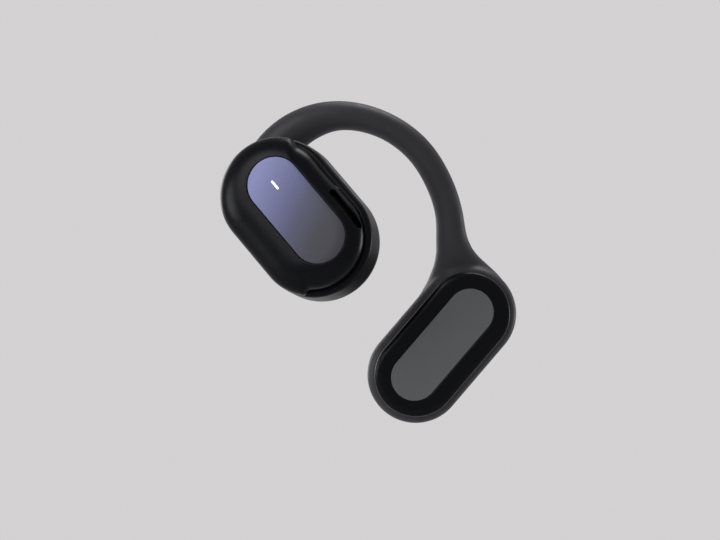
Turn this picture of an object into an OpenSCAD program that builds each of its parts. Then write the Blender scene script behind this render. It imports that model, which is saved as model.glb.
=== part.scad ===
// Open-ear earpiece for the left ear: a speaker pod in front of the ear, a battery pod behind it,
// and a sprung hook over the top of the ear that joins the two.
// Seen along +Y the wearer faces -X, the head is on the +Y side, and the origin is the middle
// of the hook's arc, where the root of the ear sits.

/* [Front pod] */
// Length of the front pod
front_len = 30.1; // [29.6:0.1:30.6]
// Width of the front pod
front_wid = 19.8; // [19.4:0.1:20.2]
// Lean of the front pod's long axis below the horizontal, in degrees
front_lean = 48; // [46:1:50]
// Tip of the front pod's face towards its upper end, in degrees
front_tip_end = 17; // [14:1:18]
// Tip of the front pod's face towards its lower side, in degrees
front_tip_side = 6; // [4:1:8]
// Length of the touch lens
lens_len = 21.5; // [21:0.1:22.4]
// Width of the touch lens
lens_wid = 9.3; // [9:0.1:9.8]

/* [Rear pod] */
// Length of the rear pod
rear_len = 30.8; // [30.4:0.1:31.2]
// Width of the rear pod
rear_wid = 16.8; // [16.4:0.1:17.2]
// Lean of the rear pod's long axis above the horizontal, in degrees
rear_lean = 49.5; // [48:0.5:51]
// Length of the rear panel
panel_len = 23; // [22:0.1:23.4]
// Width of the rear panel
panel_wid = 8.1; // [7.6:0.1:8.4]

/* [Hook] */
// Where the flexible stretch of the hook begins, as an angle round the arc
flex_from = 100; // [98:1:104]
// Where the flexible stretch of the hook ends
flex_to = 60; // [56:1:62]

/* [Speaker] */
// Outside diameter of the driver
driver_dia = 13.6; // [13.4:0.1:13.6]

/* [Hidden] */

$fn = 64;

// Colours
charcoal = [0.12, 0.12, 0.13];
black = [0.04, 0.04, 0.05];
steel = [0.62, 0.63, 0.65];
copper = [0.72, 0.42, 0.2];
gold = [0.83, 0.66, 0.3];
board_green = [0.05, 0.25, 0.16];

// Front pod: heights along the pod's own axis, from the ear side up to the outside
front_pos = [-6.8, -6.4, 2.5];
front_half = front_wid / 2;
front_straight = front_len - front_wid;
front_floor = -6;
front_brim = 2.6;
front_top = 6.4;
front_wall = 1.4;
front_in = front_half - front_wall;
floor_in = front_floor + 1.2;
cap_half = 8.8;
// Line across the pod, beyond which the cap grows to the pod's full width
ledge_turn = -35;
ledge_shift = -1.3;
cap_wall = 1;
cap_roof = 5;
// Lip of a cap, which drops inside its shell
lip_drop = 0.9;
lip_fit = 0.1;
seal_gap = 0.3;
// Free play round parts that touch face to face
play = 0.02;
lens_off = [0.3, 1.2];
lens_thick = 0.7;
guide_off = lens_off + [-5.8, 0];
guide_len = 1.9;
guide_wid = 0.36;
vent_mid = [5.2, 7.1, 5.1];
vent_len = 7.4;
vent_wid = 1.2;

// Speaker: heights measured from the driver's front rim, away from the ear
driver_r = driver_dia / 2;
driver_mid = [4.6, 0];
gasket_thick = 0.5;
rim_z = floor_in + gasket_thick;
frame_wall = 0.6;
frame_deep = 2.4;
yoke_r = 4.6;
yoke_wall = 0.5;
yoke_back = 3.4;
plate_r = 3.3;
magnet_r = 3.2;
magnet_lo = 1.92;
coil_in = 3.55;
coil_out = 3.85;
cone_r = 5.2;
dome_r = 14;
skin = 0.1;
outlet_pos = [5.4, -2.6];
outlet_len = 8;
outlet_wid = 3;

// Board stack
frame_top = 0.4;
board_thick = 0.6;
board_top = frame_top + board_thick;

// Rear pod
rear_pos = [17.6, 7.75, -19];
rear_half = rear_wid / 2;
rear_straight = rear_len - rear_wid;
rear_floor = -5.25;
rear_brim = 2.2;
rear_top = 5;
rear_wall = 1.2;
rear_in = 6.5;
rear_cap_half = 7.2;
rear_cap_in = 5.7;
rear_cap_roof = rear_top - 1.3;
rear_floor_in = rear_floor + rear_wall;
panel_thick = 0.6;
cell_lo = -2.6;
cell_hi = 2.8;
contact_gap = 6;
contact_r = 1.1;
flange_thick = 0.3;
magnet_gap = 17;

// Hook: each row is angle round the arc, radius, depth along Y, width and thickness
hook_rows = [
    [155, 12.3, 5.6, 7.2, 5.2], [148, 14.15, 5.8, 7.2, 5.2], [142, 16.2, 5.9, 7.4, 5.2],
    [135, 17.8, 6, 7.5, 5.2], [120, 19.2, 6, 6.9, 5], [105, 20.2, 5.8, 6, 4.9],
    [90, 20.7, 5.6, 5.1, 4.7], [70, 20.5, 5.7, 4.7, 4.6], [50, 20.05, 6.1, 4.7, 4.6],
    [30, 19.4, 6.7, 4.7, 4.6], [12, 19.2, 7.3, 4.8, 4.7], [0, 19.25, 7.6, 5.3, 5],
    [-8, 19.9, 8, 6.4, 5.2], [-15, 21, 8.7, 8.8, 5.4], [-22, 22.6, 9.2, 11, 5.4]
];
last_row = len(hook_rows) - 1;
sleeve_gap = 0.3;
lumen = 1.15;
wire_r = 0.4;
wire_side = 0.45;
cable_wid = 0.9;
cable_thick = 0.2;
cable_side = -0.5;
plug_r = 1.9;
ferrule_r = 1.1;
ferrule_in = 0.98;
ferrule_back = 1.6;
ferrule_fwd = 0.9;

// Root of the hook, moulded on the back of the front shell
root_pos = [-9.4, -0.5];
root_post_r = 2.6;
root_post_end = -9;
root_bore_r = 0.8;
root_wid = 7.2;
root_thick = 5.2;
root_len = 5.6;

// ---------------------------------------------------------------- shapes

// Half of a rounded section: x from 0 to w, y from lo to hi, corner radii r_lo and r_hi
module half_section(w, lo, hi, r_lo, r_hi) {
    translate([0, lo]) square([w - r_lo, r_lo]);
    translate([0, lo + r_lo]) square([w, hi - lo - r_lo - r_hi]);
    translate([w - r_lo, lo + r_lo]) intersection() {
        circle(r_lo);
        translate([0, -r_lo]) square(r_lo);
    }
    translate([0, hi - r_hi]) square([w - r_hi, r_hi]);
    translate([w - r_hi, hi - r_hi]) intersection() {
        circle(r_hi);
        square(r_hi);
    }
}

// Pill whose half section is carried round both ends and along the straight middle
module pill(straight) {
    for (side = [-1, 1])
        translate([side * straight / 2, 0, 0])
            rotate([0, 0, -90 * side])
                rotate_extrude(angle = 180) children();
    rotate([90, 0, 90])
        linear_extrude(straight, center = true) {
            children();
            mirror([1, 0]) children();
        }
}

// Flat plate with round ends, from z lo to z hi
module plate(length, width, lo, hi) {
    translate([0, 0, lo]) linear_extrude(hi - lo) {
        square([length - width, width], center = true);
        for (side = [-1, 1]) translate([side * (length - width) / 2, 0]) circle(d = width);
    }
}

// Block centred in x and y, from z lo to z hi
module block(size_x, size_y, lo, hi) {
    translate([-size_x / 2, -size_y / 2, lo]) cube([size_x, size_y, hi - lo]);
}

// Ring round the driver's axis, heights measured from its front rim
module ring(r_in, r_out, lo, hi) {
    difference() {
        translate([0, 0, lo]) cylinder(r = r_out, h = hi - lo);
        translate([0, 0, lo - 1]) cylinder(r = r_in, h = hi - lo + 2);
    }
}

module at_front() {
    translate(front_pos)
        rotate([90, front_lean, 0]) rotate([front_tip_side, 0, 0]) rotate([0, -front_tip_end, 0]) children();
}

module at_rear() {
    translate(rear_pos) rotate([90, -rear_lean, 0]) children();
}

module at_driver() {
    at_front() translate([driver_mid.x, driver_mid.y, rim_z]) children();
}

// ---------------------------------------------------------------- hook curve

// Rows blended by a Catmull-Rom spline, so the hook has no kinks
function row(i) = hook_rows[max(0, min(last_row, i))];
function blend_rows(i, t) =
    0.5 * (2 * row(i) + (row(i + 1) - row(i - 1)) * t
        + (2 * row(i - 1) - 5 * row(i) + 4 * row(i + 1) - row(i + 2)) * t * t
        + (3 * row(i) - row(i - 1) - 3 * row(i + 1) + row(i + 2)) * t * t * t);
function hook_at(u) = blend_rows(floor(u), u - floor(u));
function place(v) = [v[1] * cos(v[0]), v[2], v[1] * sin(v[0])];
// Position along the rows at which the hook passes a given angle
function seek(angle, lo = 0, hi = last_row, n = 24) =
    n == 0 ? (lo + hi) / 2
        : hook_at((lo + hi) / 2)[0] > angle ? seek(angle, (lo + hi) / 2, hi, n - 1)
        : seek(angle, lo, (lo + hi) / 2, n - 1);
function unit(v) = v / norm(v);
function along(u) = unit(place(hook_at(min(u + 0.02, last_row))) - place(hook_at(max(u - 0.02, 0))));
function outward(u) = unit(cross(along(u), [0, 1, 0]));
function across(u) = cross(outward(u), along(u));

// One ring of points round the hook's centre line, side mm outward of it
function hook_ring(u, w, d, side, sides) = [
    for (k = [0 : sides - 1])
        place(hook_at(u)) + outward(u) * (side + w / 2 * cos(360 * k / sides))
            + across(u) * d / 2 * sin(360 * k / sides)
];

// Side wall between the rings of a list, each ring holding the same number of points
function walls(rings, sides, base, flip) = [
    for (i = [0 : rings - 2], k = [0 : sides - 1])
        let (a = base + i * sides + k, b = base + i * sides + (k + 1) % sides)
            flip ? [a, b, b + sides, a + sides] : [a, a + sides, b + sides, b]
];

// Rod along the hook, with an oval section that keeps its size
module hook_rod(from, to, w, d, side, rings, sides) {
    us = [for (i = [0 : rings - 1]) from + (to - from) * i / (rings - 1)];
    points = [for (u = us) each hook_ring(u, w, d, side, sides)];
    last = (rings - 1) * sides;
    polyhedron(points, concat(
        walls(rings, sides, 0, false),
        [[for (k = [0 : sides - 1]) k]],
        [[for (k = [0 : sides - 1]) last + sides - 1 - k]]
    ));
}

// Sleeve along the hook, with the hook's own outline and a round lumen
module hook_sleeve(from, to, rings, sides = 24) {
    us = [for (i = [0 : rings - 1]) from + (to - from) * i / (rings - 1)];
    outer = [for (u = us) each hook_ring(u, hook_at(u)[3], hook_at(u)[4], 0, sides)];
    inner = [for (u = us) each hook_ring(u, 2 * lumen, 2 * lumen, 0, sides)];
    base = len(outer);
    last = (rings - 1) * sides;
    polyhedron(concat(outer, inner), concat(
        walls(rings, sides, 0, false),
        walls(rings, sides, base, true),
        [for (k = [0 : sides - 1]) [k, (k + 1) % sides, base + (k + 1) % sides, base + k]],
        [for (k = [0 : sides - 1])
            [last + k, base + last + k, base + last + (k + 1) % sides, last + (k + 1) % sides]]
    ));
}

u_start = 2.2;
u_front_end = seek(flex_from);
u_rear_start = seek(flex_to);
u_tip = 13.9;
u_plug = u_tip - 0.7;
gap_u = sleeve_gap / 5;

// Frame whose z runs along the hook and whose x points out of its arc
module along_hook(u) {
    p = place(hook_at(u));
    o = outward(u);
    c = -across(u);
    d = along(u);
    multmatrix([[o.x, c.x, d.x, p.x], [o.y, c.y, d.y, p.y], [o.z, c.z, d.z, p.z], [0, 0, 0, 1]])
        children();
}

// ---------------------------------------------------------------- front pod

module front_outer(grow = 0) {
    at_front() pill(front_straight)
        half_section(front_half + grow, front_floor - grow, front_brim + grow, 3, 0.9);
}

module front_shell() {
    color(charcoal) difference() {
        union() {
            front_outer();
            along_hook(u_start) plate(root_wid, root_thick, -root_len, -0.1);
            at_front() translate([root_pos.x, root_pos.y, root_post_end])
                cylinder(r = root_post_r, h = floor_in - root_post_end);
        }
        at_front() {
            pill(front_straight) half_section(front_in, floor_in, front_brim + 2, 1.8, 0.5);
            translate([root_pos.x, root_pos.y, root_post_end]) cylinder(r = root_bore_r, h = 6);
            translate([outlet_pos.x, outlet_pos.y, 0]) {
                plate(outlet_len, outlet_wid, front_floor - 1, floor_in + 1);
                plate(outlet_len + 1.2, outlet_wid + 1.2, front_floor - 1, front_floor + 0.5);
            }
        }
        along_hook(u_start) translate([0, 0, -3]) cylinder(r = lumen, h = 4);
    }
}

// Half of space on the pod's face side of the line, from z lo to hi
module face_side(lo, hi) {
    rotate([0, 0, ledge_turn]) translate([-30, -30 - ledge_shift, lo]) cube([60, 30, hi - lo]);
}

module front_cap() {
    color(black) at_front() difference() {
        union() {
            pill(front_straight)
                half_section(cap_half, front_brim + seal_gap, front_top, 0.2, 3.4);
            intersection() {
                pill(front_straight)
                    half_section(front_half, front_brim + seal_gap, front_top, 0.2, 3.4);
                face_side(0, front_top + 1);
            }
            pill(front_straight)
                half_section(front_in - lip_fit, front_brim - lip_drop, front_brim + 1, 0.1, 0.1);
        }
        pill(front_straight)
            half_section(cap_half - cap_wall - 0.1, front_brim - 2, cap_roof, 0.5, 2.2);
        translate([lens_off.x, lens_off.y, 0])
            plate(lens_len + 0.1, lens_wid + 0.1, front_top - lens_thick, front_top + 1);
        translate([guide_off.x, guide_off.y, 0])
            plate(guide_len + 0.1, guide_wid + 0.1, cap_roof - 1, front_top + 1);
        translate(vent_mid) rotate([-45, 0, 0]) plate(vent_len, vent_wid, -1.7, 3);
    }
}

module front_seal() {
    color(black) at_front() difference() {
        pill(front_straight)
            half_section(cap_half - 0.1, front_brim + play, front_brim + seal_gap - play, 0.05, 0.05);
        pill(front_straight) half_section(front_in + play, front_brim - 1, front_brim + 1, 0.1, 0.1);
    }
}

module touch_lens() {
    color([0.42, 0.42, 0.6]) at_front() difference() {
        translate([lens_off.x, lens_off.y, 0])
            plate(lens_len, lens_wid, front_top - lens_thick + play, front_top);
        translate([guide_off.x, guide_off.y, 0])
            plate(guide_len + 0.1, guide_wid + 0.1, 0, front_top + 1);
    }
}

module light_guide() {
    color("white") at_front() translate([guide_off.x, guide_off.y, 0]) {
        plate(guide_len, guide_wid, board_top + 0.9, front_top);
        plate(guide_len + 1.2, guide_wid + 1.2, cap_roof - 0.9, cap_roof - 0.1);
    }
}

module status_led() {
    color("white") at_front() translate([guide_off.x, guide_off.y, 0])
        block(1.6, 0.8, board_top + play, board_top + 0.7);
}

// Thin electrode that feels a finger through the lens
module touch_film() {
    color(copper) at_front() translate([4.2, 1, 0]) plate(12.4, 6.4, cap_roof - 0.25, cap_roof - 0.05);
}

module main_board() {
    color(board_green) at_front() difference() {
        plate(25.6, 15.4, frame_top + play, board_top);
        for (side = [-1, 1]) translate([side * 9, 5.6 * side, 0]) cylinder(r = 0.6, h = 4);
    }
}

module bluetooth_chip() {
    color(black) at_front() translate([1.2, -0.6, 0]) block(5, 5, board_top + play, board_top + 0.95);
}

module power_chip() {
    color(black) at_front() translate([7.4, -1.6, 0]) block(3, 3, board_top + play, board_top + 0.8);
}

module flex_connector() {
    color("ivory") at_front() translate([-8.4, -3.4, 0]) block(3.4, 1.6, board_top + play, board_top + 1);
}

// Strip antenna standing on the board along the lower side of the pod
module antenna() {
    color(gold) at_front() translate([-1, -6, 0]) {
        block(10, 0.3, board_top + play, board_top + 2.3);
        translate([0, 0.55, 0]) block(10, 0.8, board_top + 2, board_top + 2.3);
    }
}

// Frame that rests over the driver and carries the board
module inner_frame() {
    color([0.2, 0.2, 0.22]) at_front() difference() {
        union() {
            plate(27, 16.6, -0.8, frame_top);
            for (side = [-1, 1]) translate([side * 9, 5.6 * side, 0]) cylinder(r = 0.5, h = board_top + 0.3);
        }
        plate(24, 13.6, -2, frame_top - 0.4);
        plate(21, 10.6, -2, 3);
    }
}

module call_microphone() {
    color(steel) at_front() translate([8.8, 3.1, 0]) {
        difference() {
            block(2.7, 3.4, board_top + play, board_top + 1.1);
            translate([0, 0.8, board_top + 0.6]) cylinder(r = 0.25, h = 2);
        }
    }
}

// Fine mesh behind the vent slot in the cap
module vent_mesh() {
    color(steel) at_front() translate(vent_mid) rotate([-45, 0, 0])
        plate(vent_len - 0.2, vent_wid - 0.2, -0.45, -0.25);
}

// ---------------------------------------------------------------- speaker

module driver_frame() {
    color([0.25, 0.25, 0.27]) at_driver() {
        ring(driver_r - frame_wall, driver_r, 0, frame_deep);
        difference() {
            ring(yoke_r + 0.03, driver_r - 0.1, frame_deep - 0.4, frame_deep);
            for (a = [45 : 90 : 315]) rotate([0, 0, a]) translate([5.4, 0, 0]) cylinder(r = 0.4, h = 5);
        }
    }
}

module driver_yoke() {
    color(steel) at_driver() difference() {
        translate([0, 0, 1.3]) cylinder(r = yoke_r, h = yoke_back - 1.3);
        translate([0, 0, 0]) cylinder(r = yoke_r - yoke_wall, h = yoke_back - 0.4);
    }
}

module driver_magnet() {
    color([0.5, 0.5, 0.52]) at_driver() translate([0, 0, magnet_lo])
        cylinder(r = magnet_r, h = yoke_back - yoke_wall + 0.1 - play - magnet_lo);
}

module driver_top_plate() {
    color(steel) at_driver() translate([0, 0, 1.4]) cylinder(r = plate_r, h = 0.5);
}

module voice_coil() {
    color(copper) at_driver() ring(coil_in, coil_out, 0.78, 2.3);
}

// Thin cone with a shallow dome in its middle
module diaphragm() {
    color([0.7, 0.7, 0.72]) at_driver() {
        ring(coil_in - 0.1, cone_r, 0.65, 0.65 + skin);
        translate([0, 0, 0.3 + dome_r]) intersection() {
            difference() {
                sphere(dome_r);
                sphere(dome_r - skin);
            }
            translate([0, 0, -dome_r - 1]) cylinder(r = coil_in, h = 2);
        }
    }
}

// Rubber half roll that lets the diaphragm move
module surround() {
    roll_mid = (cone_r + driver_r - frame_wall) / 2;
    roll_r = (driver_r - frame_wall - cone_r) / 2 - 0.03;
    color(black) at_driver() rotate_extrude() translate([roll_mid, 0.65]) intersection() {
        difference() {
            circle(roll_r);
            circle(roll_r - skin);
        }
        translate([-1, 0]) square([2, 2]);
    }
}

module driver_gasket() {
    color(black) at_driver() ring(driver_r - 0.7, driver_r - 0.1, play - gasket_thick, -play);
}

// Perforated plate over the sound outlet, on the ear side of the pod
module outlet_grille() {
    hole_step = 1.1;
    color(steel) at_front() translate([outlet_pos.x, outlet_pos.y, 0]) difference() {
        plate(outlet_len + 1.1, outlet_wid + 1.1, front_floor + play, front_floor + 0.45);
        for (i = [-3 : 3], j = [-1 : 1])
            translate([i * hole_step, j * hole_step, front_floor - 1]) cylinder(r = 0.3, h = 3, $fn = 24);
    }
}

// ---------------------------------------------------------------- hook

// Crimped tube that ties the wire's front end into the root
module hook_root_ferrule() {
    color([0.3, 0.3, 0.32]) along_hook(u_start) ring(ferrule_in, ferrule_r, -ferrule_back, ferrule_fwd);
}

module hook_front_sleeve() {
    color(charcoal) hook_sleeve(u_start, u_front_end - gap_u, 14);
}

module hook_flex_sleeve() {
    color([0.15, 0.15, 0.16]) hook_sleeve(u_front_end, u_rear_start, 10);
}

module hook_rear_sleeve() {
    color(charcoal) difference() {
        hook_sleeve(u_rear_start + gap_u, u_tip, 24);
        rear_outer(0.05);
        at_rear() pill(rear_straight) half_section(rear_cap_half + 0.05, 0, rear_top + 1, 0.1, 0.1);
    }
}

// Springy wire that gives the hook its shape
module memory_wire() {
    color(steel) hook_rod(u_start - 0.7, u_tip - 0.5, 2 * wire_r, 2 * wire_r, wire_side, 60, 8);
}

// Flat cable that joins the board to the battery
module flex_cable() {
    color(copper) hook_rod(u_start - 0.7, u_tip - 0.5, cable_thick, cable_wid, cable_side, 60, 8);
}

// Plug that ties the wire's rear end into the rear shell
module hook_end_plug() {
    color([0.3, 0.3, 0.32]) difference() {
        intersection() {
            along_hook(u_plug) ring(1, plug_r, -1.5, 1.5);
            rear_outer(-0.1);
        }
        at_rear() pill(rear_straight)
            half_section(rear_in, rear_brim - lip_drop - 0.1, rear_top, 0.1, 0.1);
    }
}

// ---------------------------------------------------------------- rear pod

module rear_outer(grow = 0) {
    at_rear() pill(rear_straight)
        half_section(rear_half + grow, rear_floor - grow, rear_brim + grow, 3, 1);
}

module rear_shell() {
    color(charcoal) difference() {
        rear_outer();
        at_rear() {
            pill(rear_straight) half_section(rear_in, rear_floor_in, rear_brim + 2, 1.8, 0.5);
            for (side = [-1, 1])
                translate([side * contact_gap / 2, 0, rear_floor - 1]) cylinder(r = contact_r + 0.03, h = 4);
        }
        along_hook(u_plug) translate([0, 0, -6]) cylinder(r = plug_r + 0.05, h = 12);
    }
}

module rear_cap() {
    color(black) at_rear() difference() {
        union() {
            pill(rear_straight)
                half_section(rear_cap_half, rear_brim + seal_gap, rear_top, 0.2, 2.2);
            pill(rear_straight)
                half_section(rear_in - lip_fit, rear_brim - lip_drop, rear_brim + 1, 0.1, 0.1);
        }
        pill(rear_straight)
            half_section(rear_cap_in, rear_brim - 2, rear_cap_roof, 0.5, 1);
        plate(panel_len + 0.1, panel_wid + 0.1, rear_top - panel_thick, rear_top + 1);
    }
}

module rear_seal() {
    color(black) at_rear() difference() {
        pill(rear_straight)
            half_section(rear_cap_half - 0.15, rear_brim + play, rear_brim + seal_gap - play, 0.05, 0.05);
        pill(rear_straight) half_section(rear_in + play, rear_brim - 1, rear_brim + 1, 0.1, 0.1);
    }
}

module rear_panel() {
    color([0.33, 0.34, 0.34]) at_rear()
        plate(panel_len, panel_wid, rear_top - panel_thick + play, rear_top);
}

module battery_cell() {
    color([0.55, 0.56, 0.6]) at_rear() pill(12) half_section(5.2, cell_lo, cell_hi, 1.6, 1.6);
}

// Foam pads above and below the cell
module battery_foam() {
    color([0.3, 0.3, 0.3]) at_rear() {
        plate(16, 6, cell_hi + play, rear_cap_roof - 2 * play);
        for (side = [-1, 1]) translate([side * 8, 0, 0]) block(3, 5, cell_lo - 0.18, cell_lo - play);
    }
}

module protection_board() {
    color(board_green) at_rear() translate([12.2, 0, 0])
        block(0.5, 6.5, -2, rear_brim - lip_drop - 0.2);
}

// Two gold pads, level with the side that faces the head
module charging_contacts() {
    color(gold) at_rear() for (side = [-1, 1]) translate([side * contact_gap / 2, 0, 0]) {
        translate([0, 0, rear_floor]) cylinder(r = contact_r, h = rear_wall + flange_thick);
        translate([0, 0, rear_floor_in + play]) cylinder(r = contact_r + 0.5, h = flange_thick);
    }
}

// Block that holds the contacts and presses them against the shell
module contact_holder() {
    color([0.2, 0.2, 0.22]) at_rear()
        plate(10.5, 4.4, rear_floor_in + flange_thick + 0.06, cell_lo - 0.24);
}

module case_magnets() {
    color(steel) at_rear() for (side = [-1, 1])
        translate([side * magnet_gap / 2, 0, rear_floor_in + play]) cylinder(r = 2, h = 1.2);
}

front_shell();
front_cap();
front_seal();
touch_lens();
light_guide();
status_led();
touch_film();
main_board();
bluetooth_chip();
power_chip();
flex_connector();
antenna();
inner_frame();
call_microphone();
vent_mesh();
driver_frame();
driver_yoke();
driver_magnet();
driver_top_plate();
voice_coil();
diaphragm();
surround();
driver_gasket();
outlet_grille();
hook_root_ferrule();
hook_front_sleeve();
hook_flex_sleeve();
hook_rear_sleeve();
memory_wire();
flex_cable();
hook_end_plug();
rear_shell();
rear_cap();
rear_seal();
rear_panel();
battery_cell();
battery_foam();
protection_board();
charging_contacts();
contact_holder();
case_magnets();
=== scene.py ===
import math

import bpy
import numpy as np
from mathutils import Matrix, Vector


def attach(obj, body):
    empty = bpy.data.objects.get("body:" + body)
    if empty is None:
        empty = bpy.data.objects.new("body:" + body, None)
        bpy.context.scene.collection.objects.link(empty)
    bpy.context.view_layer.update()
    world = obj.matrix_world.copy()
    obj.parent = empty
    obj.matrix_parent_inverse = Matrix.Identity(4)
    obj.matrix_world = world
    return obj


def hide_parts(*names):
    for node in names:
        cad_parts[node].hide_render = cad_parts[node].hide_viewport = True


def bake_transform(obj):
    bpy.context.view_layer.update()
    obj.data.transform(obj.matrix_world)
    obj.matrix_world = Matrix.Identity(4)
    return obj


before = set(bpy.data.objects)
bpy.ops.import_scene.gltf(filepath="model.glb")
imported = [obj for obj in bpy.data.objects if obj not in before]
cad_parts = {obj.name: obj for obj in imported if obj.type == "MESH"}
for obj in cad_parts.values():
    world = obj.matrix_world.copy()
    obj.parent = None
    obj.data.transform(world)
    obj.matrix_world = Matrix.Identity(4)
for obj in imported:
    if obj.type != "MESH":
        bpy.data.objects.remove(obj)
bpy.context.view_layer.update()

MM = 0.001

# ---------------------------------------------------------------- driving dimensions, in millimetres

FRONT_PLACE = (-6.8, -6.4, 2.5)
FRONT_LEAN, FRONT_TIP_SIDE, FRONT_TIP_END = 48, 6, -17
FRONT_LENGTH, FRONT_WIDTH = 30.1, 19.8
FRONT_FLOOR, FRONT_BRIM, FRONT_TOP = -6, 2.6, 6.4
FRONT_IN, FRONT_FLOOR_IN = 8.5, -4.8
CAP_HALF, CAP_FLAT, CAP_WALL, CAP_ROOF = 8.8, 4.3, 1, 5
SEAM = 0.3
LENS_OFFSET = (0.3, 1.2)
LENS_LENGTH, LENS_WIDTH, LENS_DEPTH = 21.5, 9.3, 0.7
GUIDE_OFFSET = (-5.5, 1.2)
GUIDE_LENGTH, GUIDE_WIDTH = 1.9, 0.34
VENT_LINE = [(2.2, 7.8, 5.4), (5.8, 7.72, 5.45), (9.0, 7.56, 4.7)]
VENT_WIDTH = 1.3
VENT_AIM = (0.05, 0.52, 0.85)
LEDGE_TURN, LEDGE_SHIFT = -35, -1.3
GROOVE_MID, GROOVE_REACH, GROOVE_R = -2.4, 4.2, 0.75
OUTLET = (5.4, -2.6)
OUTLET_LENGTH, OUTLET_WIDTH = 8, 3
ROOT = (-9.4, -0.5)
BOSS_END = -7.3

REAR_PLACE = (17.6, 7.75, -19)
REAR_LEAN = -49.5
REAR_LENGTH, REAR_WIDTH = 30.8, 16.8
REAR_FLOOR, REAR_BRIM, REAR_TOP = -5.25, 2.2, 5
REAR_IN, REAR_FLOOR_IN = 6.5, -4.05
REAR_CAP_HALF, REAR_CAP_IN, REAR_CAP_ROOF = 7.2, 5.7, 3.7
PANEL_LENGTH, PANEL_WIDTH, PANEL_DEPTH = 23, 8.1, 0.6
CONTACT_GAP, CONTACT_R = 6, 1.1

# Hook: angle round the arc in degrees, radius, depth along Y, width and thickness
HOOK_ROWS = np.array([
    [155, 12.3, 5.6, 7.2, 5.2], [148, 14.15, 5.8, 7.2, 5.2], [142, 16.2, 5.9, 7.4, 5.2],
    [135, 17.8, 6, 7.5, 5.2], [120, 19.2, 6, 6.9, 5], [105, 20.2, 5.8, 6, 4.9],
    [90, 20.7, 5.6, 5.1, 4.7], [70, 20.5, 5.7, 4.7, 4.6], [50, 20.05, 6.1, 4.7, 4.6],
    [30, 19.4, 6.7, 4.7, 4.6], [12, 19.2, 7.3, 4.8, 4.7], [0, 19.25, 7.6, 5.3, 5],
    [-8, 19.9, 8, 6.4, 5.2], [-15, 21, 8.7, 8.8, 5.4], [-22, 22.6, 9.2, 11, 5.4],
])
HOOK_TIP = 13.9
LUMEN_R = 1.1


# ---------------------------------------------------------------- signed-distance fields

def turn(axis, degrees):
    c, s = math.cos(math.radians(degrees)), math.sin(math.radians(degrees))
    if axis == "x":
        return np.array([[1, 0, 0], [0, c, -s], [0, s, c]])
    return np.array([[c, 0, s], [0, 1, 0], [-s, 0, c]])


class Pod:
    """A pod's own frame: x along it, y across it, z outward from the ear."""

    def __init__(self, place, turned, length, width):
        self.place, self.turned = np.array(place), turned
        self.straight, self.half = length - width, width / 2

    def local(self, p):
        return (p - self.place) @ self.turned

    def world(self, q):
        return np.asarray(q) @ self.turned.T + self.place


front = Pod(FRONT_PLACE,
            turn("y", FRONT_LEAN) @ turn("x", 90) @ turn("x", FRONT_TIP_SIDE) @ turn("y", FRONT_TIP_END),
            FRONT_LENGTH, FRONT_WIDTH)
rear = Pod(REAR_PLACE, turn("y", REAR_LEAN) @ turn("x", 90), REAR_LENGTH, REAR_WIDTH)


def smooth_min(a, b, k):
    h = np.clip(0.5 + 0.5 * (b - a) / k, 0, 1)
    return b * (1 - h) + a * h - k * h * (1 - h)


def smooth_max(a, b, k):
    return -smooth_min(-a, -b, k)


def ramp(x, start, end):
    t = np.clip((x - start) / (end - start), 0, 1)
    return t * t * (3 - 2 * t)


def pill(q, straight, half, lo, hi, r_lo, r_hi, power=2.0):
    """Distance to a pill from z lo to hi, its lower and upper edges rounded."""
    out = np.hypot(np.maximum(np.abs(q[..., 0]) - straight / 2, 0), q[..., 1])
    z = q[..., 2]
    upper = z > (lo + r_lo + hi - r_hi) / 2
    r = np.where(upper, r_hi, r_lo)
    a = out - (half - r)
    b = np.where(upper, z - hi + r_hi, lo + r_lo - z)
    corner = (np.maximum(a, 0) ** power + np.maximum(b, 0) ** power) ** (1 / power)
    return corner + np.minimum(np.maximum(a, b), 0) - r


def plate(q, centre, length, width, lo, hi, r=0.08):
    """Distance to a flat plate with round ends, centred at (x, y)."""
    return pill(q - np.array([*centre, 0]), length - width, width / 2, lo, hi, r, r)


def slot(q, points, direction, width):
    """Distance to a slot along a line of points, cut right through along a direction."""
    n = np.array(direction) / np.linalg.norm(direction)
    best = None
    for a, b in zip(points[:-1], points[1:]):
        a, b = np.array(a), np.array(b)
        run = (b - a) - n * np.dot(b - a, n)
        off = q - a
        off = off - (off @ n)[..., None] * n
        t = np.clip(off @ run / (run @ run), 0, 1)
        d = np.linalg.norm(off - t[..., None] * run, axis=-1) - width / 2
        best = d if best is None else np.minimum(best, d)
    return best


def hook_table(samples=420):
    """Centre line, outward and across directions and sizes at even steps along the hook."""
    u = np.linspace(0, HOOK_TIP, samples)
    i = np.minimum(u.astype(int), len(HOOK_ROWS) - 2)
    t = (u - i)[:, None]
    row = [HOOK_ROWS[np.clip(i + k, 0, len(HOOK_ROWS) - 1)] for k in (-1, 0, 1, 2)]
    v = 0.5 * (2 * row[1] + (row[2] - row[0]) * t
               + (2 * row[0] - 5 * row[1] + 4 * row[2] - row[3]) * t ** 2
               + (3 * row[1] - row[0] - 3 * row[2] + row[3]) * t ** 3)
    angle = np.radians(v[:, 0])
    centre = np.stack([v[:, 1] * np.cos(angle), v[:, 2], v[:, 1] * np.sin(angle)], 1)
    along = np.gradient(centre, axis=0)
    along /= np.linalg.norm(along, axis=1)[:, None]
    outward = np.cross(along, [0, 1, 0])
    outward /= np.linalg.norm(outward, axis=1)[:, None]
    across = np.cross(outward, along)
    return v[:, 0], centre, along, outward, across, v[:, 3:5]


hook_angle, hook_centre, hook_along, hook_out, hook_across, hook_size = hook_table()


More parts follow.
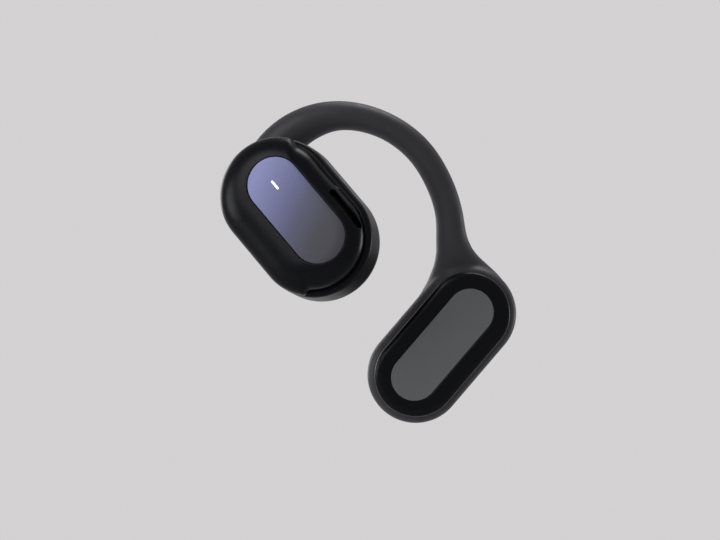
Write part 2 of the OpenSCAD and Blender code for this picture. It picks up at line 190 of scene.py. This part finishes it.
def hook_frame(p):
    """Where each point lies beside the hook: out of its arc, across it, past its ends, and the sizes there."""
    flat = p[:, :1] if p.ndim == 4 else p
    shape = flat.shape[:-1]
    xz = flat[..., (0, 2)].reshape(-1, 2)
    line = hook_centre[:, (0, 2)]
    where = np.empty(len(xz))
    for s in range(0, len(xz), 20000):
        part = xz[s:s + 20000]
        d = (part[:, None, 0] - line[None, :, 0]) ** 2 + (part[:, None, 1] - line[None, :, 1]) ** 2
        i = d.argmin(1)
        a = np.clip(i, 1, len(line) - 2)
        run = (line[a + 1] - line[a - 1]) / 2
        t = ((part - line[i]) * run).sum(1) / (run ** 2).sum(1)
        where[s:s + 20000] = np.clip(i + t, 0, len(line) - 1)
    where = where.reshape(shape)
    lo = np.minimum(where.astype(int), len(line) - 2)
    f = (where - lo)[..., None]

    def at(table):
        return table[lo] * (1 - f) + table[lo + 1] * f

    d = p - at(hook_centre)
    return ((d * at(hook_out)).sum(-1), (d * at(hook_across)).sum(-1), (d * at(hook_along)).sum(-1),
            at(hook_size))


def hook_tube(p):
    side, up, past, size = hook_frame(p)
    w, t, end = size[..., 0] / 2, size[..., 1] / 2, 2.4
    k0 = np.sqrt((side / w) ** 2 + (up / t) ** 2 + (past / end) ** 2)
    k1 = np.sqrt((side / w ** 2) ** 2 + (up / t ** 2) ** 2 + (past / end ** 2) ** 2)
    lumen = np.sqrt(side ** 2 + up ** 2 + (1.5 * past) ** 2) - LUMEN_R
    return k0 * (k0 - 1) / np.maximum(k1, 1e-6), lumen


def neck(q):
    """Distance to the oval neck that joins the hook's root to the back of the front pod."""
    z = q[..., 2]
    wide = 1 + 0.28 * ramp(z, BOSS_END - 1, FRONT_FLOOR + 1)
    a, b = 3.3 * wide, 2.7 * wide
    x, y = q[..., 0] - ROOT[0], q[..., 1] - ROOT[1]
    k0 = np.sqrt((x / a) ** 2 + (y / b) ** 2)
    k1 = np.sqrt((x / a ** 2) ** 2 + (y / b ** 2) ** 2)
    tube = k0 * (k0 - 1) / np.maximum(k1, 1e-6)
    return smooth_max(tube, np.maximum(-10.2 - z, z + 4.4), 1.5)


def front_outside(q):
    return pill(q, front.straight, front.half, FRONT_FLOOR, FRONT_BRIM, 3.6, 0.9, 2.2)


def front_shell_field(q):
    body = smooth_min(front_outside(q), neck(q), 2.2)
    body = smooth_max(body, BOSS_END - q[..., 2], 0.35)
    hollow = pill(q, front.straight, FRONT_IN, FRONT_FLOOR_IN, FRONT_BRIM + 3, 1.8, 0.5)
    body = smooth_max(body, -hollow, 0.25)
    hole = plate(q, OUTLET, OUTLET_LENGTH, OUTLET_WIDTH, FRONT_FLOOR - 2, FRONT_FLOOR_IN + 1)
    recess = plate(q, OUTLET, OUTLET_LENGTH + 1.2, OUTLET_WIDTH + 1.2, FRONT_FLOOR - 2, FRONT_FLOOR + 0.5)
    body = smooth_max(body, -smooth_min(hole, recess, 0.05), 0.3)
    bore = np.hypot(q[..., 0] - ROOT[0], q[..., 1] - ROOT[1]) - 0.8
    return smooth_max(body, -bore, 0.2)


def dome(q, straight, half, lo, hi, reach, drop, power, spill=0):
    """Distance to a flat-topped dome over a pill: its shoulder is reach wide, drop deep, and cut spill short."""
    out = np.hypot(np.maximum(np.abs(q[..., 0]) - straight / 2, 0), q[..., 1])
    a = (out - half - spill) / (reach + spill) + 1
    b = (q[..., 2] - hi) / drop + 1
    shoulder = (np.maximum(a, 0) ** power + np.maximum(b, 0) ** power) ** (1 / power)
    top = (shoulder + np.minimum(np.maximum(a, b), 0) - 1) * np.minimum(reach, drop)
    if spill:
        top = smooth_max(top, out - half, 0.16)
    return smooth_max(top, lo - q[..., 2], 0.12)


def front_dome(q):
    """The cap is as wide as the pod on the face side, and steps in to a ledge on the ear side."""
    t = math.radians(LEDGE_TURN)
    beyond = q[..., 1] * math.cos(t) - q[..., 0] * math.sin(t) + LEDGE_SHIFT
    half = CAP_HALF + (front.half - 0.05 - CAP_HALF) * ramp(beyond, 0.6, -1.0)
    return dome(q, front.straight, half, FRONT_BRIM + SEAM, FRONT_TOP, half - CAP_FLAT, 3.0, 2.2)


def vent(q):
    return slot(q, VENT_LINE, VENT_AIM, VENT_WIDTH)


def front_cap_field(q):
    lip = pill(q, front.straight, FRONT_IN - 0.1, FRONT_BRIM - 0.9, FRONT_BRIM + 1.2, 0.1, 0.1)
    body = np.minimum(front_dome(q), lip)
    hollow = pill(q, front.straight, CAP_HALF - CAP_WALL - 0.1, FRONT_BRIM - 3, CAP_ROOF, 0.5, 2.2)
    body = smooth_max(body, -hollow, 0.15)
    pocket = plate(q, LENS_OFFSET, LENS_LENGTH + 0.08, LENS_WIDTH + 0.08, FRONT_TOP - LENS_DEPTH, FRONT_TOP + 2)
    body = smooth_max(body, -pocket, 0.16)
    window = plate(q, GUIDE_OFFSET, GUIDE_LENGTH + 0.1, GUIDE_WIDTH + 0.1, CAP_ROOF - 1, FRONT_TOP + 2)
    body = np.maximum(body, -window)
    body = smooth_max(body, -vent(q), 0.22)
    # The seam opens into a tapered groove above the vent
    taper = np.sqrt(np.clip(1 - ((q[..., 0] - GROOVE_MID) / GROOVE_REACH) ** 2, 0, 1))
    groove = np.hypot(q[..., 1] - CAP_HALF - 0.1, q[..., 2] - 3.5) - GROOVE_R * taper
    return smooth_max(body, -np.where(taper > 0, groove, 1), 0.3)


def lens_field(q):
    rim = plate(q, LENS_OFFSET, LENS_LENGTH, LENS_WIDTH, FRONT_TOP - LENS_DEPTH + 0.02, FRONT_TOP + 2)
    body = smooth_max(front_dome(q) + 0.01, rim, 0.1)
    window = plate(q, GUIDE_OFFSET, GUIDE_LENGTH + 0.06, GUIDE_WIDTH + 0.06, 0, FRONT_TOP + 2)
    return smooth_max(body, -window, 0.04)


def guide_field(q):
    pin = plate(q, GUIDE_OFFSET, GUIDE_LENGTH, GUIDE_WIDTH, 1.9, FRONT_TOP + 2)
    flange = plate(q, GUIDE_OFFSET, GUIDE_LENGTH + 1.2, GUIDE_WIDTH + 1.2, CAP_ROOF - 0.9, CAP_ROOF - 0.1)
    return smooth_min(smooth_max(pin, front_dome(q), 0.05), flange, 0.05)


def skin_field(p):
    """Hook and rear shell, moulded in one skin."""
    tube, lumen = hook_tube(p)
    q = front.local(p)
    stem = smooth_max(neck(q), q[..., 2] - (BOSS_END - 0.12), 0.35)
    tube = smooth_min(tube, stem, 2.6)
    r = rear.local(p)
    shell = pill(r, rear.straight, rear.half, REAR_FLOOR, REAR_BRIM, 3.4, 1.8, 2.15)
    k = 2.6 - 2.0 * ramp(r[..., 2], -1.5, 1.2)
    body = smooth_min(tube, shell, k)
    above = pill(r, rear.straight, REAR_CAP_HALF + 0.12, REAR_BRIM, REAR_TOP + 4, 0.1, 0.3)
    body = smooth_max(body, -above, 0.2)
    hollow = pill(r, rear.straight, REAR_IN, REAR_FLOOR_IN, REAR_BRIM + 3, 1.8, 0.5)
    side = np.abs(r[..., 0]) - CONTACT_GAP / 2
    pads = np.maximum(np.hypot(side, r[..., 1]) - CONTACT_R - 0.03, r[..., 2])
    body = smooth_max(body, -np.minimum(hollow, pads), 0.25)
    return smooth_max(body, -lumen, 0.2)


def rear_dome(r):
    return dome(r, rear.straight, REAR_CAP_HALF, REAR_BRIM + SEAM, REAR_TOP, 1.5, 1.3, 2.2, 0.15)


def rear_cap_field(r):
    lip = pill(r, rear.straight, REAR_IN - 0.1, REAR_BRIM - 0.9, REAR_BRIM + 1.2, 0.1, 0.1)
    body = np.minimum(rear_dome(r), lip)
    hollow = pill(r, rear.straight, REAR_CAP_IN, REAR_BRIM - 3, REAR_CAP_ROOF, 0.5, 1)
    body = smooth_max(body, -hollow, 0.15)
    pocket = plate(r, (0, 0), PANEL_LENGTH + 0.08, PANEL_WIDTH + 0.08, REAR_TOP - PANEL_DEPTH, REAR_TOP + 2)
    return smooth_max(body, -pocket, 0.16)


def panel_field(r):
    rim = plate(r, (0, 0), PANEL_LENGTH, PANEL_WIDTH, REAR_TOP - PANEL_DEPTH + 0.02, REAR_TOP + 2)
    return smooth_max(rear_dome(r) + 0.01, rim, 0.1)


# ---------------------------------------------------------------- meshes from fields

def slopes(field, p, h=0.01):
    out = np.empty_like(p)
    for axis in range(3):
        step = np.zeros(3)
        step[axis] = h
        out[:, axis] = (field(p + step) - field(p - step)) / (2 * h)
    return out


def surface(field, low, high, step):
    """Vertices and quads of the field's zero surface: one vertex per crossed cell, then drawn onto the surface."""
    low = np.array(low, float)
    count = np.ceil((np.array(high) - low) / step).astype(int) + 1
    axes = [low[k] + step * np.arange(count[k]) for k in range(3)]
    grid = np.stack(np.meshgrid(*axes, indexing="ij"), -1)
    value = field(grid)
    cells = tuple(count - 1)
    total, hits = np.zeros(cells + (3,)), np.zeros(cells)
    edges = []
    for axis in range(3):
        first = [slice(None)] * 3
        second = [slice(None)] * 3
        first[axis], second[axis] = slice(None, -1), slice(1, None)
        a, b = value[tuple(first)], value[tuple(second)]
        i = np.argwhere((a < 0) != (b < 0))
        u, v = [k for k in range(3) if k != axis]
        inner = (i[:, u] > 0) & (i[:, u] < count[u] - 1) & (i[:, v] > 0) & (i[:, v] < count[v] - 1)
        i = i[inner]
        va, vb = a[tuple(i.T)], b[tuple(i.T)]
        point = i.astype(float)
        point[:, axis] += va / (va - vb)
        around = []
        for du, dv in ((0, 0), (-1, 0), (-1, -1), (0, -1)):
            cell = i.copy()
            cell[:, u] += du
            cell[:, v] += dv
            np.add.at(total, tuple(cell.T), point)
            np.add.at(hits, tuple(cell.T), 1)
            around.append(np.ravel_multi_index(tuple(cell.T), cells))
        quad = np.stack(around, 1)
        flip = (va < 0) if axis != 1 else (va > 0)
        quad[~flip] = quad[~flip][:, ::-1]
        edges.append(quad)
    used = np.flatnonzero(hits.ravel())
    number = np.full(hits.size, -1)
    number[used] = np.arange(len(used))
    points = low + step * total.reshape(-1, 3)[used] / hits.ravel()[used, None]
    start = points.copy()
    for _ in range(4):
        g = slopes(field, points)
        size = np.maximum((g ** 2).sum(1), 0.05)
        points = points - (field(points) / size)[:, None] * g * 0.9
        points = start + np.clip(points - start, -0.9 * step, 0.9 * step)
    return points, number[np.concatenate(edges)]


def mesh_piece(name, points, faces, material, normals=None):
    """A smooth-shaded object from points in millimetres in the row frame."""
    mesh = bpy.data.meshes.new(name)
    mesh.vertices.add(len(points))
    mesh.vertices.foreach_set("co", (np.asarray(points) * MM).astype(np.float32).ravel())
    mesh.loops.add(len(faces) * 4)
    mesh.loops.foreach_set("vertex_index", np.asarray(faces).astype(np.int32).ravel())
    mesh.polygons.add(len(faces))
    mesh.polygons.foreach_set("loop_start", np.arange(0, len(faces) * 4, 4, dtype=np.int32))
    mesh.update(calc_edges=True)
    mesh.validate()
    mesh.polygons.foreach_set("use_smooth", np.ones(len(mesh.polygons), bool))
    if normals is not None:
        mesh.normals_split_custom_set_from_vertices(normals.astype(np.float32))
    piece = bpy.data.objects.new(name, mesh)
    bpy.context.scene.collection.objects.link(piece)
    mesh.materials.append(material)
    return piece


def field_piece(name, field, low, high, step, material, pod=None, exact_normals=True):
    """A piece whose surface is a field's, drawn in a pod's own frame or in the row frame."""
    points, faces = surface(field, low, high, step)
    normals = slopes(field, points) if exact_normals else None
    if normals is not None:
        normals /= np.maximum(np.linalg.norm(normals, axis=1), 1e-6)[:, None]
    if pod is not None:
        points = pod.world(points)
        normals = normals @ pod.turned.T if normals is not None else None
    return mesh_piece(name, points, faces, material, normals)


# ---------------------------------------------------------------- materials

def linear(*rgb):
    """Linear colour of an sRGB colour given from 0 to 255."""
    c = np.array(rgb) / 255
    return (*np.where(c <= 0.04045, c / 12.92, ((c + 0.055) / 1.055) ** 2.4), 1)


class Nodes:
    """Small helper for a material's node tree."""

    def __init__(self, name):
        self.material = bpy.data.materials.new(name)
        self.material.use_nodes = True
        self.tree = self.material.node_tree
        self.shader = self.tree.nodes["Principled BSDF"]
        self.where = self.tree.nodes.new("ShaderNodeTexCoord").outputs["Object"]

    def node(self, kind, **settings):
        made = self.tree.nodes.new(kind)
        for key, value in settings.items():
            setattr(made, key, value)
        return made

    def link(self, a, b):
        self.tree.links.new(a, b)

    def noise(self, scale, detail=2.0, rough=0.5):
        made = self.node("ShaderNodeTexNoise")
        made.inputs["Scale"].default_value = scale
        made.inputs["Detail"].default_value = detail
        made.inputs["Roughness"].default_value = rough
        self.link(self.where, made.inputs["Vector"])
        return made.outputs["Fac"]

    def spread(self, source, low, high, from_low=0.3, from_high=0.7):
        made = self.node("ShaderNodeMapRange")
        for key, value in zip(("From Min", "From Max", "To Min", "To Max"), (from_low, from_high, low, high)):
            made.inputs[key].default_value = value
        self.link(source, made.inputs["Value"])
        return made.outputs["Result"]

    def mix(self, factor, a, b):
        made = self.node("ShaderNodeMix", data_type="RGBA")
        self.link(factor, made.inputs["Factor"])
        for socket, value in ((made.inputs[6], a), (made.inputs[7], b)):
            if isinstance(value, tuple):
                socket.default_value = value
            else:
                self.link(value, socket)
        return made.outputs[2]

    def bump(self, height, distance, strength=1.0):
        made = self.node("ShaderNodeBump")
        made.inputs["Strength"].default_value = strength
        made.inputs["Distance"].default_value = distance
        self.link(height, made.inputs["Height"])
        self.link(made.outputs["Normal"], self.shader.inputs["Normal"])

    def set(self, **sockets):
        for key, value in sockets.items():
            self.shader.inputs[key.replace("_", " ")].default_value = value


def finish_of(name, colour, rough, specular=0.5, metallic=0.0, grain=2600, grain_depth=0.4e-6,
              tone=0.12, patch=180, rough_range=0.06, coat=0.0, coat_rough=0.1, colour_b=None):
    """Moulded or machined finish: tone drifts over the part, fine grain in its bump, and smudges in its roughness."""
    n = Nodes(name)
    dark = tuple(c * (1 - tone) for c in colour[:3]) + (1,)
    light = colour_b or tuple(min(1, c * (1 + tone)) for c in colour[:3]) + (1,)
    broad = n.noise(patch, 3)
    fine = n.noise(grain, 2, 0.6)
    n.link(n.mix(n.spread(broad, 0, 1), dark, light), n.shader.inputs["Base Color"])
    n.link(n.spread(n.noise(patch * 2.3, 4), rough - rough_range, rough + rough_range), n.shader.inputs["Roughness"])
    n.set(Specular_IOR_Level=specular, Metallic=metallic)
    if coat:
        n.set(Coat_Weight=coat, Coat_Roughness=coat_rough)
    n.bump(fine, grain_depth)
    return n.material


def lens_finish():
    """Glass coloured from a light violet to a dark grey along it: a painted reflection, lightest at its upper left."""
    n = Nodes("lens_painted_reflection_finish")
    # Painted reflection: light violet at the upper left end, fading to dark grey at the lower right end.
    stops = [(0.0, (125, 129, 171)), (0.12, (116, 120, 158)), (0.28, (103, 106, 142)), (0.41, (92, 94, 127)),
             (0.56, (77, 79, 99)), (0.78, (65, 65, 74)), (1.0, (60, 59, 65))]
    across = n.node("ShaderNodeVectorMath", operation="DOT_PRODUCT")
    n.link(n.where, across.inputs[0])
    across.inputs[1].default_value = (0.9, 0, -0.43)
    start, end = -17 * MM, 0
    place = n.spread(across.outputs["Value"], 0, 1, start, end)
    colours = n.node("ShaderNodeValToRGB")
    ramp_stops = colours.color_ramp.elements
    for i, (position, colour) in enumerate(stops):
        stop = ramp_stops[i] if i < 2 else ramp_stops.new(position)
        stop.position = position
        stop.color = linear(*colour)
    n.link(place, colours.inputs["Fac"])
    speck = n.noise(5200, 1)
    shade = n.node("ShaderNodeHueSaturation")
    n.link(n.spread(speck, 0.97, 1.03), shade.inputs["Value"])
    n.link(colours.outputs["Color"], shade.inputs["Color"])
    n.link(shade.outputs["Color"], n.shader.inputs["Base Color"])
    n.link(n.spread(n.noise(260, 3), 0.34, 0.44), n.shader.inputs["Roughness"])
    n.set(Specular_IOR_Level=0.12)
    n.bump(speck, 0.15e-6)
    return n.material


def glow_finish():
    """White light guide, lit from below, its glow a little uneven over it."""
    n = Nodes("light_guide_finish")
    milk = n.noise(3000, 2)
    n.link(n.mix(n.spread(milk, 0, 1), (0.86, 0.88, 0.92, 1), (0.95, 0.96, 1, 1)), n.shader.inputs["Base Color"])
    n.link(n.spread(milk, 0.8, 1.0), n.shader.inputs["Emission Strength"])
    n.set(Emission_Color=(0.95, 0.96, 1, 1), Roughness=0.5)
    n.bump(milk, 0.3e-6)
    return n.material


def weave_finish(name, colour, rough, pitch, metallic):
    """Fine woven wire or board weave, as crossed waves."""
    n = Nodes(name)
    waves = []
    for axis in "XZ":
        wave = n.node("ShaderNodeTexWave", bands_direction=axis)
        wave.inputs["Scale"].default_value = pitch
        n.link(n.where, wave.inputs["Vector"])
        waves.append(wave.outputs["Fac"])
    cross = n.node("ShaderNodeMath", operation="MULTIPLY")
    n.link(waves[0], cross.inputs[0])
    n.link(waves[1], cross.inputs[1])
    dark = tuple(c * 0.35 for c in colour[:3]) + (1,)
    n.link(n.mix(cross.outputs[0], dark, colour), n.shader.inputs["Base Color"])
    n.link(n.spread(cross.outputs[0], rough + 0.15, rough - 0.05, 0, 1), n.shader.inputs["Roughness"])
    n.set(Metallic=metallic, Specular_IOR_Level=0.3)
    n.bump(cross.outputs[0], 6e-6)
    return n.material


GLOSS = finish_of("gloss_cap_finish", linear(5, 6, 11), 0.28, 0.08, grain=900, grain_depth=0.5e-6, tone=0.1,
                  rough_range=0.015)
SHELL = finish_of("satin_shell_finish", linear(5, 6, 10), 0.33, 0.07, grain=1500, grain_depth=0.8e-6, rough_range=0.03)
SKIN = finish_of("hook_skin_finish", linear(43, 43, 47), 0.5, 0.2, grain=5200, grain_depth=3e-6, tone=0.08)
RUBBER = finish_of("seal_rubber_finish", linear(14, 14, 15), 0.75, 0.15, grain=6000, grain_depth=2e-6)
PANEL = finish_of("grey_panel_finish", linear(85, 87, 88), 0.62, 0.12, grain=7000, grain_depth=1e-6, tone=0.02)
STEEL = finish_of("bright_steel_finish", (0.56, 0.57, 0.59, 1), 0.28, 0.5, 1.0, grain=4200, grain_depth=1e-6)
WIRE = finish_of("wire_metal_finish", (0.6, 0.6, 0.61, 1), 0.22, 0.5, 1.0, grain=3000, grain_depth=0.6e-6)
MAGNET = finish_of("magnet_plate_finish", (0.42, 0.43, 0.46, 1), 0.3, 0.5, 1.0, grain=2600, grain_depth=1e-6)
GOLD = finish_of("gold_plate_finish", (0.83, 0.6, 0.24, 1), 0.25, 0.5, 1.0, grain=3600, grain_depth=0.8e-6)
COPPER = finish_of("copper_film_finish", (0.72, 0.35, 0.18, 1), 0.35, 0.5, 1.0, grain=3000, grain_depth=0.6e-6)
INNER = finish_of("inner_plastic_finish", linear(52, 52, 56), 0.6, 0.3, grain=4000, grain_depth=2e-6)
CHIP = finish_of("chip_plastic_finish", linear(26, 26, 28), 0.7, 0.25, grain=8000, grain_depth=1.5e-6)
IVORY = finish_of("connector_plastic_finish", linear(222, 214, 192), 0.45, 0.4, grain=3000, grain_depth=1e-6)
LED = finish_of("led_package_finish", linear(240, 238, 226), 0.35, 0.4, grain=2000, grain_depth=0.6e-6)
FOAM = finish_of("foam_finish", linear(58, 58, 60), 0.95, 0.1, grain=2400, grain_depth=40e-6, tone=0.3, patch=1500)
CONE = finish_of("cone_film_finish", linear(186, 188, 196), 0.3, 0.5, 0.3, grain=1200, grain_depth=1e-6)
FOIL = finish_of("battery_foil_finish", (0.52, 0.53, 0.57, 1), 0.32, 0.5, 0.9, grain=900, grain_depth=6e-6)
BOARD = weave_finish("circuit_board_finish", linear(18, 78, 56), 0.4, 900, 0.0)
MESH = weave_finish("dark_mesh_finish", linear(46, 46, 50), 0.4, 1500, 0.7)
LENS = lens_finish()
GLOW = glow_finish()

# ---------------------------------------------------------------- camera, light and floor


def stage_finish(name, colour):
    n = Nodes(name)
    soft = n.noise(9, 3)
    dark = tuple(c * 0.98 for c in colour[:3]) + (1,)
    n.link(n.mix(n.spread(soft, 0, 1), dark, colour), n.shader.inputs["Base Color"])
    n.link(n.spread(soft, 0.8, 0.95), n.shader.inputs["Roughness"])
    n.set(Specular_IOR_Level=0.1)
    return n.material


BACKDROP = (0.655, 0.642, 0.65, 1)
FLOOR = (0.72, 0.708, 0.714, 1)


def area_lamp(name, place, aim, size, power):
    data = bpy.data.lights.new(name, "AREA")
    data.shape, data.size, data.energy = "DISK", size, power
    lamp = bpy.data.objects.new(name, data)
    lamp.location = place
    lamp.rotation_euler = (Vector(aim) - Vector(place)).to_track_quat("-Z", "Y").to_euler()
    bpy.context.scene.collection.objects.link(lamp)
    return lamp


def stage():
    scene = bpy.context.scene
    data = bpy.data.cameras.new("camera")
    data.sensor_width, data.lens = 36, 174.4
    camera = bpy.data.objects.new("camera", data)
    camera.location = (3.354 * MM, -0.6, -6.09 * MM)
    camera.rotation_euler = (math.radians(90), 0, 0)
    scene.collection.objects.link(camera)
    scene.camera = camera
    scene.view_settings.view_transform = "Standard"

    world = bpy.data.worlds.new("studio")
    world.use_nodes = True
    scene.world = world
    tree = world.node_tree
    seen = tree.nodes["Background"]
    seen.inputs["Color"].default_value = BACKDROP
    seen.inputs["Strength"].default_value = 1
    light = tree.nodes.new("ShaderNodeBackground")
    light.inputs["Color"].default_value = (1, 1, 1, 1)
    light.inputs["Strength"].default_value = 0.38
    path = tree.nodes.new("ShaderNodeLightPath")
    either = tree.nodes.new("ShaderNodeMath")
    either.operation = "MAXIMUM"
    tree.links.new(path.outputs["Is Camera Ray"], either.inputs[0])
    tree.links.new(path.outputs["Is Glossy Ray"], either.inputs[1])
    any_of = tree.nodes.new("ShaderNodeMath")
    any_of.operation = "MAXIMUM"
    tree.links.new(either.outputs[0], any_of.inputs[0])
    tree.links.new(path.outputs["Is Transmission Ray"], any_of.inputs[1])
    pick = tree.nodes.new("ShaderNodeMixShader")
    tree.links.new(any_of.outputs[0], pick.inputs[0])
    tree.links.new(light.outputs[0], pick.inputs[1])
    tree.links.new(seen.outputs[0], pick.inputs[2])
    tree.links.new(pick.outputs[0], tree.nodes["World Output"].inputs["Surface"])

    area_lamp("key", (-0.46, -0.55, 0.41), (0, 0, 0), 0.44, 3)
    area_lamp("left", (-0.62, -0.22, 0.08), (0, 0, 0), 0.3, 1.7)
    area_lamp("top", (0.15, 0.2, 0.62), (0, 0, 0), 0.4, 3)
    area_lamp("right_back", (0.62, 0.3, -0.05), (0, 0, 0), 0.36, 1.6)
    area_lamp("left_back", (-0.45, 0.5, 0.1), (0, 0, 0), 0.4, 1.4)

    ring = [(0.6 * math.cos(a), 0.6 * math.sin(a), -0.115) for a in np.linspace(0, 2 * math.pi, 97)[:-1]]
    mesh = bpy.data.meshes.new("floor")
    mesh.from_pydata(ring, [], [list(range(len(ring)))])
    mesh.materials.append(stage_finish("floor_finish", FLOOR))
    floor = bpy.data.objects.new("floor", mesh)
    scene.collection.objects.link(floor)


stage()

# ---------------------------------------------------------------- speaker pod

END = front.straight / 2 + front.half + 0.4
SIDE = front.half + 0.4

front_shell = field_piece("front_shell_skin", front_shell_field, (-END, -SIDE, BOSS_END - 0.5),
                          (END, SIDE, FRONT_BRIM + 0.5), 0.24, SHELL, front)
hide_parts("front_shell")
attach(front_shell, "speaker_pod")


front_cap = field_piece("front_cap_dome", front_cap_field, (-END, -SIDE, FRONT_BRIM - 1.2),
                        (END, SIDE, FRONT_TOP + 0.4), 0.14, GLOSS, front)
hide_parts("front_cap")
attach(front_cap, "speaker_pod")

lens = field_piece("touch_lens_glass", lens_field,
                   (LENS_OFFSET[0] - LENS_LENGTH / 2 - 0.4, LENS_OFFSET[1] - LENS_WIDTH / 2 - 0.4,
                    FRONT_TOP - LENS_DEPTH - 0.3),
                   (LENS_OFFSET[0] + LENS_LENGTH / 2 + 0.4, LENS_OFFSET[1] + LENS_WIDTH / 2 + 0.4,
                    FRONT_TOP + 0.3), 0.14, LENS, front)
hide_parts("touch_lens")
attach(lens, "speaker_pod")

guide = field_piece("light_guide_bar", guide_field,
                    (GUIDE_OFFSET[0] - 2, GUIDE_OFFSET[1] - 1.3, 1.6),
                    (GUIDE_OFFSET[0] + 2, GUIDE_OFFSET[1] + 1.3, FRONT_TOP + 0.3), 0.06, GLOW, front)
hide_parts("light_guide")
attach(guide, "speaker_pod")


def grille_field(q):
    """Flat plate with staggered round holes, over the sound outlet."""
    body = plate(q, OUTLET, OUTLET_LENGTH + 1.1, OUTLET_WIDTH + 1.1, FRONT_FLOOR + 0.02, FRONT_FLOOR + 0.45, 0.1)
    pitch = 0.72
    x, y = q[..., 0] - OUTLET[0], q[..., 1] - OUTLET[1]
    best = np.full(x.shape, 1e3)
    for shift in (0, 0.5):
        row = (np.round(y / (pitch * 1.732) - shift) + shift) * pitch * 1.732
        column = (np.round(x / pitch - shift) + shift) * pitch
        near = np.hypot(x - column, y - row) - 0.22
        inside = plate(np.stack([column + OUTLET[0], row + OUTLET[1], q[..., 2]], -1), OUTLET,
                       OUTLET_LENGTH - 0.4, OUTLET_WIDTH - 0.3, -20, 20)
        best = np.minimum(best, np.where(inside < 0, near, 1e3))
    return smooth_max(body, -np.minimum(best, 1), 0.05)


grille = field_piece("outlet_grille_plate", grille_field,
                     (OUTLET[0] - 5, OUTLET[1] - 2.5, FRONT_FLOOR - 0.2),
                     (OUTLET[0] + 5, OUTLET[1] + 2.5, FRONT_FLOOR + 0.7), 0.08, MESH, front)
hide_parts("outlet_grille")
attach(grille, "speaker_pod")


def vent_mesh_field(q):
    """Thin woven strip that lies behind the vent slot."""
    strip = slot(q, VENT_LINE, VENT_AIM, VENT_WIDTH + 0.5)
    return smooth_max(strip, np.abs(front_dome(q) + 0.95) - 0.12, 0.05)


vent_mesh = field_piece("vent_mesh_strip", vent_mesh_field, (1, 5.2, 2.6), (10.4, 8.6, 6), 0.1, MESH, front)
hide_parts("vent_mesh")
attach(vent_mesh, "speaker_pod")

# ---------------------------------------------------------------- hook and battery pod

skin = field_piece("hook_skin", skin_field, (-17, -1.5, -33), (31.5, 13.6, 24.6), 0.28, SKIN,
                   exact_normals=False)
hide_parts("hook_front_sleeve", "hook_flex_sleeve", "hook_rear_sleeve", "rear_shell")


def bend(piece):
    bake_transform(piece)


def carried_core(name, node, material):
    """A copy of a CAD core that runs inside the hook, its placement baked into its mesh."""
    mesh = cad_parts[node].data.copy()
    mesh.materials.clear()
    mesh.materials.append(material)
    piece = bpy.data.objects.new(name, mesh)
    bpy.context.scene.collection.objects.link(piece)
    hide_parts(node)
    bend(piece)


bend(skin)
carried_core("memory_wire_core", "memory_wire", WIRE)
carried_core("flex_cable_core", "flex_cable", COPPER)

REAR_END = rear.straight / 2 + REAR_CAP_HALF + 0.4
rear_cap = field_piece("rear_cap_dome", rear_cap_field, (-REAR_END, -REAR_CAP_HALF - 0.4, REAR_BRIM - 1.2),
                       (REAR_END, REAR_CAP_HALF + 0.4, REAR_TOP + 0.4), 0.14, GLOSS, rear)
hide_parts("rear_cap")
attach(rear_cap, "battery_pod")

panel = field_piece("rear_panel_plate", panel_field,
                    (-PANEL_LENGTH / 2 - 0.4, -PANEL_WIDTH / 2 - 0.4, REAR_TOP - PANEL_DEPTH - 0.3),
                    (PANEL_LENGTH / 2 + 0.4, PANEL_WIDTH / 2 + 0.4, REAR_TOP + 0.3), 0.14, PANEL, rear)
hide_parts("rear_panel")
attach(panel, "battery_pod")


def contact_field(r):
    """Two plated pads with a shallow dished face and a flange inside the shell."""
    side = np.abs(r[..., 0]) - CONTACT_GAP / 2
    out = np.hypot(side, r[..., 1])
    z = r[..., 2]
    pad = smooth_max(out - CONTACT_R, np.maximum(REAR_FLOOR - z, z - REAR_FLOOR_IN - 0.3), 0.12)
    flange = np.maximum(out - CONTACT_R - 0.5, np.abs(z - REAR_FLOOR_IN - 0.17) - 0.15)
    dish = np.sqrt(out ** 2 + (z - REAR_FLOOR + 5.9) ** 2) - 6
    return smooth_max(smooth_min(pad, flange, 0.1), -dish, 0.12)


contacts = field_piece("charging_contact_pads", contact_field,
                       (-CONTACT_GAP / 2 - 2, -2, REAR_FLOOR - 0.3), (CONTACT_GAP / 2 + 2, 2, REAR_FLOOR_IN + 0.8),
                       0.09, GOLD, rear)
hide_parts("charging_contacts")
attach(contacts, "battery_pod")

# ---------------------------------------------------------------- finishes of the CAD nodes that stay

KEPT = {
    "front_seal": RUBBER, "rear_seal": RUBBER, "driver_gasket": RUBBER, "surround": RUBBER,
    "status_led": LED, "touch_film": COPPER, "voice_coil": COPPER, "main_board": BOARD,
    "protection_board": BOARD, "bluetooth_chip": CHIP, "power_chip": CHIP, "flex_connector": IVORY,
    "antenna": GOLD, "inner_frame": INNER, "driver_frame": INNER, "contact_holder": INNER,
    "hook_end_plug": INNER, "hook_root_ferrule": STEEL, "call_microphone": STEEL, "driver_yoke": STEEL,
    "driver_top_plate": STEEL, "driver_magnet": MAGNET, "case_magnets": MAGNET, "diaphragm": CONE,
    "battery_cell": FOIL, "battery_foam": FOAM,
}
for node_name, material in KEPT.items():
    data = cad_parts[node_name].data
    data.materials.clear()
    data.materials.append(material)
